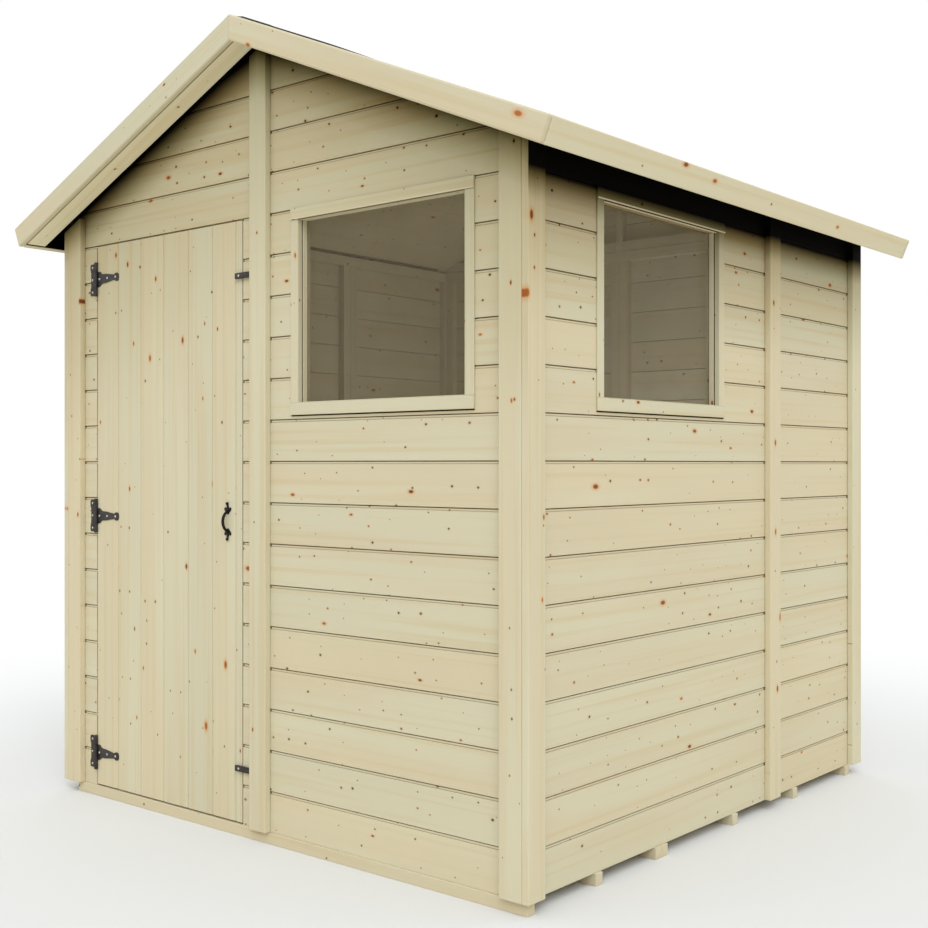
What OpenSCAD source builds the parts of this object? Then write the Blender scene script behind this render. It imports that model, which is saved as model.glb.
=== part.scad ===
// Wooden garden shed with an apex roof, a boarded door and two fixed windows.
// The door gable faces -Y and the window side wall faces +X.
// The origin is on the ground, in the middle of the plan.

/* [Walls] */
// Overall width of the walls, measured over the cover strips, mm
wall_w = 1829; // [1750:1:1950]
// Overall depth of the walls, measured over the cover strips, mm
wall_d = 1829; // [1750:1:1950]
// Height of one course of cladding, mm
course_h = 110.8; // [108:0.1:114]
// Thickness of the cladding boards, mm
clad_t = 12; // [8:1:16]
// Width of the framing timbers, mm
stud_w = 36; // [30:1:36]
// Depth of the framing timbers, mm
stud_d = 28; // [22:1:36]
// Width of the vertical cover strips, mm
strip_w = 66; // [50:1:70]
// Thickness of the vertical cover strips, mm
strip_t = 20; // [14:1:24]

/* [Floor] */
// Height of the bearers under the floor, mm
bearer_h = 31; // [27:1:45]
// Width of one bearer, mm
bearer_w = 29; // [24:1:29]
// Thickness of the floor boards, mm
floor_t = 12; // [9:1:18]

/* [Roof] */
// Height of the ridge above the ground, mm
ridge_z = 2205; // [2180:1:2260]
// Pitch of the roof, degrees
roof_pitch = 23.1; // [22.5:0.1:23.5]
// Length of one roof slope from the ridge to the eaves, mm
slope_len = 1133; // [1110:1:1160]
// Distance from the middle of the plan to the face of a bargeboard, mm
barge_y = 1012; // [1000:1:1040]
// Width of the bargeboards and of the eaves boards, mm
barge_w = 64; // [56:1:72]
// Thickness of the bargeboards and of the eaves boards, mm
barge_t = 18; // [14:1:20]
// Thickness of the roof boards, mm
deck_t = 11; // [9:1:13]
// Thickness of the roofing felt, mm
felt_t = 2; // [2:1:3]

/* [Door] */
// Left edge of the door, mm from the middle of the plan
door_x0 = -762; // [-764:1:-758]
// Right edge of the door, mm from the middle of the plan
door_x1 = -84; // [-90:1:-82]
// Gap between the door and what surrounds it, mm
door_gap = 5; // [5:0.5:6]

/* [Windows] */
// Left edge of the front window's opening, mm from the middle of the plan
front_win_x = 143; // [138:1:150]
// Near edge of the side window's opening, mm from the middle of the plan
side_win_y = -589; // [-596:1:-580]
// Width of a window opening, mm
win_w = 574; // [560:1:580]
// Width of the trim around a window, mm
trim_w = 27; // [20:1:36]
// Thickness of the glass, mm
glass_t = 3; // [2:1:4]

/* [Hidden] */

$fn = 48;

// Planes of the walls, from the outside in.
face_x = wall_w / 2;
face_y = wall_d / 2;
clad_x = face_x - strip_t;
clad_y = face_y - strip_t;
inner_x = clad_x - clad_t;
inner_y = clad_y - clad_t;
frame_x = inner_x - stud_d;
frame_y = inner_y - stud_d;

// Window frames: what is proud of the cladding, then the steps through the wall behind its face.
trim_t = 4.5;
head_h = 29;
head_out = 6.5;
sill_h = 31;
sill_out = 7;
lining_t = 2;
rebate_w = 4;
glass_inset = 1.5;
glass_in = 27;
bead_back = 2;

// Heights.
clad_z = bearer_h;
floor_z = bearer_h + floor_t;
head_z = clad_z + 15 * course_h;
sill_z = clad_z + 10.37 * course_h;
win_top_z = head_z - head_h;
stud_z = floor_z + stud_w;

// The panels of the side walls meet at this line, and their floor at another.
side_joint_y = 295;
floor_joint_y = -322;
floor_x0 = -859;
floor_x1 = 900;
floor_y0 = -899;
floor_y1 = 849.5;
split = 1;

// Roof: a point at a distance along the slope from the ridge and at a depth below the felt.
function slope_point(along, depth) = [
    along * cos(roof_pitch) - depth * sin(roof_pitch),
    ridge_z - along * sin(roof_pitch) - depth * cos(roof_pitch)];
function plumb(depth) = slope_point(depth * tan(roof_pitch), depth);
roof_t = felt_t + deck_t;
// Hair gap between pieces that meet on the roof's slope or round a window.
ease = 0.02;
// Height of whatever stands under the roof boards, at a distance from the middle.
function under_z(x) = ridge_z - (roof_t + ease) / cos(roof_pitch) - abs(x) * tan(roof_pitch);
deck_y = barge_y - barge_t;
// The rake battens hang almost as low as the bargeboards, and the cover strips stop level with them.
batten_d = 67;
batten_h = barge_w - roof_t - 2;
beam_h = 60;
function strip_top_z(x) = ridge_z - barge_w / cos(roof_pitch) - abs(x) * tan(roof_pitch);
// The wall panels' top rails meet the roof boards at the inner face of the side walls.
top_rail_z = under_z(inner_x) - stud_w;
gable_rail_z = top_rail_z + stud_w;
gable_stud_w = 28;

// Door, its ledges and its hinges.
door_z0 = clad_z + door_gap;
door_z1 = head_z - door_gap;
ledge_t = 20;
ledge_h = 90;
ledge_inset = 20;
hinge_x = door_x0 - door_gap / 2;
hinge_y = -clad_y - 5.5;
hinge_z = [133, 861, 1588];
knuckle_r = 5.5;
pin_r = 2.5;
pin_play = 0.1;
iron_t = 2.5;
plate_w = 34;
plate_h = 104;
plate_step = 3;
knuckle_gap = 1;
strap_root_h = 47;
strap_tip_x = 100;
strap_tip_r = 12.5;

// Handle and turn buttons.
handle_x = -143;
handle_z = 861;
handle_h = 106;
handle_rise = 19;
handle_chord = 60;
handle_bar_r = 4;
handle_r = ((handle_chord / 2) ^ 2 + handle_rise ^ 2) / (2 * handle_rise);
handle_half_angle = asin(handle_chord / 2 / handle_r);
leaf_w = 28;
leaf_t = 3;
button_x = door_x1 - 6;
button_z = [185, 1536];
button_off = 5;
button_t = 3;
button_h = 16.5;
button_arm = 50;
button_tail = 16;
spindle_r = 3.5;

wood = [0.84, 0.80, 0.67];
wood_dark = [0.76, 0.71, 0.57];
iron = [0.14, 0.13, 0.14];
felt = [0.13, 0.13, 0.13];
glass = [0.45, 0.42, 0.34];

// A box between two corners.
module box(from, to) translate(from) cube(to - from);

// A profile in X and Z, run from y0 to y1.
module along_y(y0, y1) translate([0, y1, 0]) rotate([90, 0, 0]) linear_extrude(y1 - y0) children();

// One layer of the right-hand roof slope, between two depths, from a start to an end along the slope.
module slope_layer(y0, y1, depth0, depth1, end, start = -1)
    along_y(y0, y1) polygon([
        start < 0 ? plumb(depth0) : slope_point(start, depth0), slope_point(end, depth0),
        slope_point(end, depth1), start < 0 ? plumb(depth1) : slope_point(start, depth1)]);

// Half of a gable wall: its top follows the underside of the roof.
module gable_half(y0, y1, z0, x1 = clad_x)
    along_y(y0, y1) polygon([[0, z0], [x1, z0], [x1, under_z(x1)], [0, under_z(0)]]);

// A side wall's cladding between two places along Y.
module side_cladding(y0, y1)
    along_y(y0, y1) polygon([
        [inner_x, clad_z], [clad_x, clad_z], [clad_x, under_z(clad_x)], [inner_x, under_z(inner_x)]]);

module window_hole_front() box([front_win_x, -clad_y - 1, sill_z], [front_win_x + win_w, -inner_y + 1, win_top_z]);
module window_hole_right() box([inner_x - 1, side_win_y, sill_z], [clad_x + 1, side_win_y + win_w, win_top_z]);

module floor_bearers() color(wood_dark) {
    step_back = (floor_y1 - bearer_w - floor_joint_y) / 3;
    starts = [
        floor_y0, (floor_y0 + floor_joint_y - bearer_w) / 2, floor_joint_y - bearer_w - split / 2,
        for (i = [0:3]) floor_joint_y + split / 2 + i * (step_back - split / 6)];
    for (y = starts) box([floor_x0, y, 0], [floor_x1, y + bearer_w, bearer_h]);
}
module front_floor_panel() color(wood)
    box([-inner_x, -inner_y + door_gap, bearer_h], [inner_x, floor_joint_y - split / 2, floor_z]);
module back_floor_panel() color(wood)
    box([-inner_x, floor_joint_y + split / 2, bearer_h], [inner_x, inner_y, floor_z]);

module front_wall_left_of_door() color(wood)
    box([-clad_x, -clad_y, clad_z], [door_x0 - door_gap, -inner_y, head_z]);
module front_wall_right_of_door() color(wood)
    box([door_x1 + door_gap, -clad_y, clad_z], [-split / 2, -inner_y, head_z]);
module front_gable_over_door() color(wood)
    intersection() {
        mirror([1, 0, 0]) gable_half(-clad_y, -inner_y, head_z);
        box([-clad_x, -clad_y, head_z], [-split / 2, -inner_y, ridge_z]);
    }
module front_wall_window_panel() color(wood)
    difference() {
        gable_half(-clad_y, -inner_y, clad_z);
        window_hole_front();
    }
module right_wall_window_panel() color(wood)
    difference() {
        side_cladding(-inner_y, side_joint_y - split / 2);
        window_hole_right();
    }
module right_wall_plain_panel() color(wood) side_cladding(side_joint_y + split / 2, inner_y);
module left_wall_front_panel() color(wood)
    mirror([1, 0, 0]) side_cladding(-inner_y, side_joint_y - split / 2);
module left_wall_back_panel() color(wood)
    mirror([1, 0, 0]) side_cladding(side_joint_y + split / 2, inner_y);
module back_wall_left_panel() color(wood)
    mirror([1, 0, 0]) gable_half(inner_y, clad_y, clad_z);
module back_wall_right_panel() color(wood)
    difference() {
        gable_half(inner_y, clad_y, clad_z);
        box([-1, inner_y - 1, 0], [split, clad_y + 1, ridge_z]);
    }

// Framing of a gable wall, against the inside of the front cladding.
module gable_stud(x) box([x, -inner_y, stud_z], [x + stud_w, -frame_y, top_rail_z]);
module gable_rail(x0, x1, z) box([x0, -inner_y, z], [x1, -frame_y, z + stud_w]);
module gable_centre_studs() {
    gable_stud(-stud_w - split / 2);
    gable_stud(split / 2);
    box([-gable_stud_w / 2, -inner_y, gable_rail_z], [gable_stud_w / 2, -frame_y, under_z(gable_stud_w / 2)]);
}
// The gable triangle's bottom rails lie on the wall's top rail, one on each side of its stud.
module gable_triangle_rails()
    for (left = [0, 1])
        mirror([left, 0, 0]) intersection() {
            gable_half(-inner_y, -frame_y, top_rail_z, frame_x);
            gable_rail(gable_stud_w / 2, frame_x, gable_rail_z + split);
        }
module front_studs() color(wood_dark) {
    gable_centre_studs();
    gable_stud(-frame_x);
    gable_stud(door_x0 - door_gap - stud_w);
    gable_stud(door_x1 + door_gap);
    gable_stud(front_win_x - stud_w);
    gable_stud(front_win_x + win_w);
    gable_stud(frame_x - stud_w);
}
module front_rails() color(wood_dark) {
    gable_rail(-frame_x, door_x0 - door_gap, floor_z);
    gable_rail(door_x1 + door_gap, frame_x, floor_z);
    gable_rail(-frame_x, frame_x, top_rail_z);
    gable_rail(door_x0 - door_gap, door_x1 + door_gap, head_z);
    gable_rail(front_win_x, front_win_x + win_w, sill_z - stud_w - ease);
    gable_rail(front_win_x, front_win_x + win_w, win_top_z + ease);
    gable_triangle_rails();
}
module back_studs() color(wood_dark) mirror([0, 1, 0]) {
    gable_centre_studs();
    gable_stud(-frame_x);
    gable_stud(frame_x - stud_w);
}
module back_rails() color(wood_dark) mirror([0, 1, 0]) {
    gable_rail(-frame_x, frame_x, floor_z);
    gable_rail(-frame_x, frame_x, top_rail_z);
    gable_triangle_rails();
}

// Framing of a side wall, against the inside of the right-hand cladding.
module side_stud(y) box([frame_x, y, stud_z], [inner_x, y + stud_w, top_rail_z]);
module side_rail(y0, y1, z) box([frame_x, y0, z], [inner_x, y1, z + stud_w]);
module side_joint_studs() {
    side_stud(-inner_y);
    side_stud(side_joint_y - split / 2 - stud_w);
    side_stud(side_joint_y + split / 2);
    side_stud(inner_y - stud_w);
}
module right_studs() color(wood_dark) {
    side_joint_studs();
    side_stud(side_win_y - stud_w);
    side_stud(side_win_y + win_w);
}
module right_rails() color(wood_dark) {
    side_rail(-inner_y, inner_y, floor_z);
    side_rail(-inner_y, inner_y, top_rail_z);
    side_rail(side_win_y, side_win_y + win_w, sill_z - stud_w - ease);
    side_rail(side_win_y, side_win_y + win_w, win_top_z + ease);
}
module left_studs() color(wood_dark) mirror([1, 0, 0]) {
    side_joint_studs();
    side_stud(-side_joint_y - stud_w / 2);
}
module left_rails() color(wood_dark) mirror([1, 0, 0]) {
    side_rail(-inner_y, inner_y, floor_z);
    side_rail(-inner_y, inner_y, top_rail_z);
}

// Cover strips: the strips of the side walls lap the ends of those of the gables.
module gable_strips() {
    for (left = [0, 1])
        mirror([left, 0, 0]) along_y(-face_y, -clad_y) polygon([
            [clad_x - strip_w, clad_z], [clad_x, clad_z],
            [clad_x, strip_top_z(clad_x)], [clad_x - strip_w, strip_top_z(clad_x - strip_w)]]);
    along_y(-face_y, -clad_y) polygon([
        [-strip_w / 2, clad_z], [strip_w / 2, clad_z], [strip_w / 2, strip_top_z(strip_w / 2)],
        [0, strip_top_z(0)], [-strip_w / 2, strip_top_z(strip_w / 2)]]);
}
module side_strips() {
    for (y = [-face_y, side_joint_y - strip_w / 2, face_y - strip_w])
        along_y(y, y + strip_w) polygon([
            [clad_x, clad_z], [face_x, clad_z], [face_x, strip_top_z(face_x)], [clad_x, strip_top_z(clad_x)]]);
}
module front_cover_strips() color(wood) gable_strips();
module back_cover_strips() color(wood) mirror([0, 1, 0]) gable_strips();
module right_cover_strips() color(wood) side_strips();
module left_cover_strips() color(wood) mirror([1, 0, 0]) side_strips();

// A window in a wall that faces -Y: thin trim outside on a sill and under a head,
// a lining through the wall, and a rebated inner frame that holds the glass near its back.
module window_outline(x0, inset, y0, y1)
    box([x0 + inset, -clad_y + y0, sill_z + inset], [x0 + win_w - inset, -clad_y + y1, win_top_z - inset]);
module window_glass(x0) window_outline(x0, glass_inset, glass_in, glass_in + glass_t);
module window_frame(x0) difference() {
    union() {
        box([x0 - trim_w, -clad_y - trim_t, sill_z], [x0 + win_w + trim_w, -clad_y, win_top_z]);
        box([x0 - trim_w, -clad_y - head_out, win_top_z], [x0 + win_w + trim_w, -clad_y, head_z]);
        box([x0 - trim_w, -clad_y - sill_out, sill_z - sill_h], [x0 + win_w + trim_w, -clad_y, sill_z]);
        window_outline(x0, 0, -trim_t, clad_t + stud_d - bead_back);
    }
    window_outline(x0, lining_t, -face_y, clad_t);
    window_outline(x0, rebate_w, -face_y, face_y);
    window_glass(x0);
}

module front_window_frame() color(wood) window_frame(front_win_x);
module front_window_glass() color(glass) window_glass(front_win_x);
module right_window_frame() color(wood) rotate([0, 0, 90]) window_frame(side_win_y);
module right_window_glass() color(glass) rotate([0, 0, 90]) window_glass(side_win_y);

module roof_panel() slope_layer(-deck_y, deck_y, felt_t + ease, roof_t, slope_len - barge_t - ease);
module roof_felt() slope_layer(-deck_y, deck_y, 0, felt_t, slope_len - barge_t - ease);
module right_roof_panel() color(wood) roof_panel();
module left_roof_panel() color(wood) mirror([1, 0, 0]) roof_panel();
module right_roof_felt() color(felt) roof_felt();
module left_roof_felt() color(felt) mirror([1, 0, 0]) roof_felt();
module ridge_beam() color(wood_dark)
    box([-stud_w / 2, -frame_y, under_z(stud_w / 2) - beam_h], [stud_w / 2, frame_y, under_z(stud_w / 2)]);
// A pair of raked boards parted by a saw cut in the middle.
module raked_pair() difference() {
    for (left = [0, 1])
        mirror([left, 0, 0]) children();
    box([-split / 2, -barge_y - 1, ridge_z - 2 * barge_w], [split / 2, barge_y + 1, ridge_z + 1]);
}
module rake_batten()
    slope_layer(-deck_y, -deck_y + batten_d, roof_t + ease, roof_t + batten_h, slope_len - barge_t - ease);
module bargeboard() slope_layer(-barge_y, -deck_y, 0, barge_w, slope_len);
module rake_battens() color(wood)
    for (back = [0, 1])
        mirror([0, back, 0]) raked_pair() rake_batten();
module front_bargeboards() color(wood) raked_pair() bargeboard();
module back_bargeboards() color(wood) mirror([0, 1, 0]) raked_pair() bargeboard();
module eaves_boards() color(wood)
    for (left = [0, 1])
        mirror([left, 0, 0]) slope_layer(-deck_y, deck_y, 0, barge_w, slope_len, slope_len - barge_t);

// Tee hinges: the plate with its pin is screwed to the wall, the strap to the door.
// Both are drawn with the pin's foot at the origin of X and Z.
module hinge_barrel(r, h, z = 0) translate([0, hinge_y, z]) cylinder(r = r, h = h, center = true);
module hinge_plate() {
    end_h = (plate_h - strap_root_h) / 2 - knuckle_gap;
    box([-plate_w, -clad_y - iron_t, -plate_h / 2 + plate_step], [-knuckle_r - 2, -clad_y, plate_h / 2 - plate_step]);
    for (end = [-1, 1])
        translate([0, 0, end * (plate_h - end_h) / 2]) {
            box([-plate_w / 2, -clad_y - iron_t, -end_h / 2 + (1 - end) / 2 * plate_step],
                [0, -clad_y, end_h / 2 - (1 + end) / 2 * plate_step]);
            hinge_barrel(knuckle_r, end_h);
        }
    hinge_barrel(pin_r, plate_h);
}
module hinge_strap() difference() {
    union() {
        hinge_barrel(knuckle_r, strap_root_h);
        translate([0, -clad_y, 0]) rotate([90, 0, 0]) linear_extrude(iron_t) {
            for (under = [0, 1])
                mirror([0, under]) polygon([
                    [2, -1], [2, strap_root_h / 2], [18, strap_root_h / 2 - 2], [24, 17],
                    [34, 14], [48, 13.5], [strap_tip_x, 8], [strap_tip_x, -1]]);
            translate([strap_tip_x, 0]) circle(r = strap_tip_r);
        }
    }
    hinge_barrel(pin_r + pin_play, strap_root_h + 2);
}
module hinge_plates() color(iron)
    for (z = hinge_z) translate([hinge_x, 0, z]) hinge_plate();
module hinge_straps() color(iron)
    for (z = hinge_z) translate([hinge_x, 0, z]) hinge_strap();

module door_boards() color(wood)
    box([door_x0, -clad_y, door_z0], [door_x1, -inner_y, door_z1]);
module door_ledges() color(wood_dark)
    for (z = hinge_z)
        box([door_x0 + ledge_inset, -inner_y, z - ledge_h / 2],
            [door_x1 - ledge_inset, -inner_y + ledge_t, z + ledge_h / 2]);

// Pull handle: an arched round bar between two flat leaves with a spear point.
module door_handle() color(iron) translate([handle_x, -clad_y, handle_z]) {
    for (low = [0, 1])
        mirror([0, 0, low]) rotate([90, 0, 0]) linear_extrude(leaf_t) polygon([
            [-5, 20], [5, 20], [leaf_w / 2, 31], [leaf_w / 2, 37], [5, 40],
            [3, handle_h / 2], [-3, handle_h / 2], [-5, 40], [-leaf_w / 2, 37], [-leaf_w / 2, 31]]);
    intersection() {
        translate([0, handle_r - handle_rise, 0]) rotate([0, 90, 0])
            rotate([0, 0, -90 - handle_half_angle])
                rotate_extrude(angle = 2 * handle_half_angle) translate([handle_r, 0]) circle(r = handle_bar_r);
        box([-leaf_w, -handle_h, -handle_h], [leaf_w, 0, handle_h]);
    }
}

// Turn buttons: a flat bar on a spindle, which crosses the joint between the door and the wall.
module turn_button(z) color(iron) translate([button_x, -clad_y, z]) rotate([90, 0, 0]) {
    translate([-button_tail, -button_h / 2, button_off]) cube([button_tail + button_arm, button_h, button_t]);
    cylinder(r = spindle_r, h = button_off);
}
module top_turn_button() turn_button(button_z[1]);
module bottom_turn_button() turn_button(button_z[0]);

floor_bearers();
front_floor_panel();
back_floor_panel();
front_wall_left_of_door();
front_wall_right_of_door();
front_gable_over_door();
front_wall_window_panel();
right_wall_window_panel();
right_wall_plain_panel();
left_wall_front_panel();
left_wall_back_panel();
back_wall_left_panel();
back_wall_right_panel();
front_studs();
front_rails();
right_studs();
right_rails();
left_studs();
left_rails();
back_studs();
back_rails();
front_cover_strips();
right_cover_strips();
left_cover_strips();
back_cover_strips();
front_window_frame();
front_window_glass();
right_window_frame();
right_window_glass();
left_roof_panel();
right_roof_panel();
left_roof_felt();
right_roof_felt();
ridge_beam();
rake_battens();
front_bargeboards();
back_bargeboards();
eaves_boards();
hinge_plates();
door_boards();
door_ledges();
hinge_straps();
door_handle();
top_turn_button();
bottom_turn_button();
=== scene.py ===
"""A pale softwood garden shed: shiplap walls on a stud frame, an apex roof, a door and two windows."""

import math
import random

import bmesh
import bpy
from mathutils import Matrix, Vector


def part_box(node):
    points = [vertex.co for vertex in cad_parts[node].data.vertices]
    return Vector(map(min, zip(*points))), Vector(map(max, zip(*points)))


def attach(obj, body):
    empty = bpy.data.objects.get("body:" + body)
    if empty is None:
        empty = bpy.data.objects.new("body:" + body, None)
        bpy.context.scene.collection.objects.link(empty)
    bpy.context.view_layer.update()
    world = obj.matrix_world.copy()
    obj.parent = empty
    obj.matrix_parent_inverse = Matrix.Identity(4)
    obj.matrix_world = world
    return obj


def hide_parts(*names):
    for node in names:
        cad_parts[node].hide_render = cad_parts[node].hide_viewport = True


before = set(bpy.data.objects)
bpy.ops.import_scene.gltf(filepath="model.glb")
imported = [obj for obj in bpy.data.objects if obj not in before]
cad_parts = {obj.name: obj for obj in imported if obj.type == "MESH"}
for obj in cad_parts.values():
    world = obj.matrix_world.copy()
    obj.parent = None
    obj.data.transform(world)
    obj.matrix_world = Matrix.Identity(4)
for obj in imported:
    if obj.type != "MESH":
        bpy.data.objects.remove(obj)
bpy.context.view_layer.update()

# Sizes in metres. The walls' planes are measured from the middle of the plan.
STRIP_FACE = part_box("right_cover_strips")[1][0]
CLAD_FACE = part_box("right_wall_plain_panel")[1][0]
CLAD_T = 0.012
CLAD_BACK = CLAD_FACE - CLAD_T
CLAD_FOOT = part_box("right_wall_plain_panel")[0][2]
COURSE = 0.1108
DOOR_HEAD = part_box("front_wall_left_of_door")[1][2]

# The roof's boards and felt lie under the surface of its slopes.
RIDGE_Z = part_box("front_bargeboards")[1][2]
PITCH = math.radians(23.1)
SLOPE_LEN = 1.133
FELT_T = 0.002
ROOF_T = 0.013
BARGE_W = 0.064
BARGE_T = 0.018
DECK_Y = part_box("right_roof_panel")[1][1]
BARGE_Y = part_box("front_bargeboards")[0][1]

# The walls' shade close under the roof is full down to a line and then fades. A faint broad one lies below.
GABLE_SHADE_TOP = 0.046
GABLE_SHADE_FADE = 0.058
GABLE_BROAD = (0.85, 0.15)
APEX_SHADE = 0.018
APEX_W = 0.20
EAVES_SHADE_TOP = 1.691
EAVES_SHADE_FADE = 0.034
EAVES_BROAD = (1.30, 1.60)
BROAD_SHADE = 0.10
SHADE_INNER = CLAD_BACK + 0.003
SHADE_OUTER = STRIP_FACE + 0.010


# ---------------- finishes

def paint(red, green, blue):
    """A colour from its everyday 0 to 255 values."""
    def straight(value):
        value /= 255
        return value / 12.92 if value <= 0.04045 else ((value + 0.055) / 1.055) ** 2.4
    return (straight(red), straight(green), straight(blue), 1.0)


class Wire:
    """A socket of a finish. Arithmetic on it adds Math nodes."""

    def __init__(self, finish, socket):
        self.finish = finish
        self.socket = socket

    def __add__(self, other):
        return self.finish.maths("ADD", self, other)

    def __sub__(self, other):
        return self.finish.maths("SUBTRACT", self, other)

    def __rsub__(self, other):
        return self.finish.maths("SUBTRACT", other, self)

    def __mul__(self, other):
        return self.finish.maths("MULTIPLY", self, other)

    def __truediv__(self, other):
        return self.finish.maths("DIVIDE", self, other)

    def __pow__(self, other):
        return self.finish.maths("POWER", self, other)

    __radd__ = __add__
    __rmul__ = __mul__


class Finish:
    """A material, or the sky, in the making."""

    def __init__(self, name, kept_in=bpy.data.materials):
        self.material = kept_in.new(name)
        self.material.use_nodes = True
        self.tree = self.material.node_tree
        self.tree.nodes.clear()

    def node(self, kind, settings, inputs, output=0):
        """Adds a node, with its settings made first, and gives back one of its outputs."""
        made = self.tree.nodes.new(kind)
        for key, value in settings.items():
            setattr(made, key, value)
        for key, value in inputs.items():
            if isinstance(value, Wire):
                self.tree.links.new(value.socket, made.inputs[key])
            else:
                made.inputs[key].default_value = value
        return Wire(self, made.outputs[output]) if made.outputs else None

    def maths(self, operation, *values):
        return self.node("ShaderNodeMath", {"operation": operation}, dict(enumerate(values)))

    def blend(self, amount, first, second, how="MIX"):
        settings = {"data_type": "RGBA", "blend_type": how, "clamp_factor": True}
        return self.node("ShaderNodeMix", settings, {0: amount, 6: first, 7: second}, 2)

    def stretch(self, vector, scale):
        return self.node("ShaderNodeVectorMath", {"operation": "MULTIPLY"}, {0: vector, 1: scale})

    def place(self):
        """Where a point lies on the object."""
        return self.node("ShaderNodeTexCoord", {}, {}, "Object")

    def axis(self, vector, name):
        """The X, Y or Z of a vector."""
        return self.node("ShaderNodeSeparateXYZ", {}, {"Vector": vector}, name)

    def attribute(self, name, output="Fac"):
        """What a board says of itself at a point."""
        return self.node("ShaderNodeAttribute", {"attribute_name": name}, {}, output)

    def noise(self, vector, scale, detail):
        inputs = {"Vector": self.stretch(vector, scale), "Scale": 1.0, "Detail": detail}
        return self.node("ShaderNodeTexNoise", {}, inputs, "Fac")

    def ramp(self, value, low, high, start=0.0, end=1.0):
        """A soft step between two values."""
        inputs = {"Value": value, "From Min": low, "From Max": high, "To Min": start, "To Max": end}
        return self.node("ShaderNodeMapRange", {"interpolation_type": "SMOOTHSTEP"}, inputs)

    def bump(self, height, depth, strength):
        return self.node("ShaderNodeBump", {}, {"Height": height, "Distance": depth, "Strength": strength})

    def surface(self, **sockets):
        """The Principled shader, with the sockets that are named, spaces written as underscores."""
        inputs = {key.replace("_", " "): value for key, value in sockets.items()}
        shader = self.node("ShaderNodeBsdfPrincipled", {}, inputs)
        self.node("ShaderNodeOutputMaterial", {}, {"Surface": shader})
        return self.material


def knots(wood, grain, cell, share, small, large, longer):
    """Where the knots of one size are: core, halo and lot, each 0 to 1, with at most one knot in a cell."""
    cells = wood.stretch(grain, (1 / cell / longer, 1 / cell, 1.0))
    spots = {"voronoi_dimensions": "2D", "feature": "F1"}
    inputs = {"Vector": cells, "Scale": 1.0, "Randomness": 1.0}
    distance = wood.node("ShaderNodeTexVoronoi", spots, inputs, "Distance")
    lots = wood.node("ShaderNodeTexVoronoi", spots, inputs, "Color")
    chosen, sizes, lot = [
        wood.node("ShaderNodeSeparateColor", {}, {"Color": lots}, part) for part in ("Red", "Green", "Blue")]
    there = wood.maths("LESS_THAN", chosen, share)
    radius = sizes * sizes * ((large - small) / cell) + small / cell
    core = wood.ramp(distance / radius, 1.2, 0.6) * there
    halo = wood.ramp(distance / radius, 2.4, 0.8) * there
    return core, halo, lot


def overhang_shade(wood):
    """How far a wall's outer face lies in the deep shade close under the roof, from 0 to 1."""
    place = wood.place()
    x, y, z = [wood.maths("ABSOLUTE", wood.axis(place, name)) for name in "XYZ"]
    middle = (SHADE_INNER + SHADE_OUTER) / 2
    reach = (SHADE_OUTER - SHADE_INNER) / 2
    on_wall = wood.maths("COMPARE", wood.maths("MAXIMUM", x, y), middle, reach)
    under_roof = RIDGE_Z - z - x * math.tan(PITCH) - wood.ramp(x, APEX_W, 0.0) * APEX_SHADE
    near = wood.maths("EXPONENT", (GABLE_SHADE_TOP - under_roof) / GABLE_SHADE_FADE)
    gable = wood.maths("MAXIMUM", near, wood.ramp(under_roof, *GABLE_BROAD) * BROAD_SHADE)
    close = wood.maths("EXPONENT", (z - EAVES_SHADE_TOP) / EAVES_SHADE_FADE)
    side = wood.maths("MAXIMUM", close, wood.ramp(z, *EAVES_BROAD) * BROAD_SHADE)
    on_side = wood.maths("GREATER_THAN", x, y)
    shade = wood.maths("MINIMUM", side * on_side + gable * (1 - on_side), 1.0)
    return shade * on_wall


RING_W = 0.0052
PINE_GREEN = paint(211, 208, 183)
PINE_PINK = paint(211, 202, 174)
PINE_GOLD = paint(206, 191, 154)
# The near-black of painted shade.
PAINTED_SHADE_BLACK = paint(5, 4, 3)
# A board whose painted shade is below this is kept out of the overhang's painted shade.
OUT_OF_SHADE = -0.1


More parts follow.
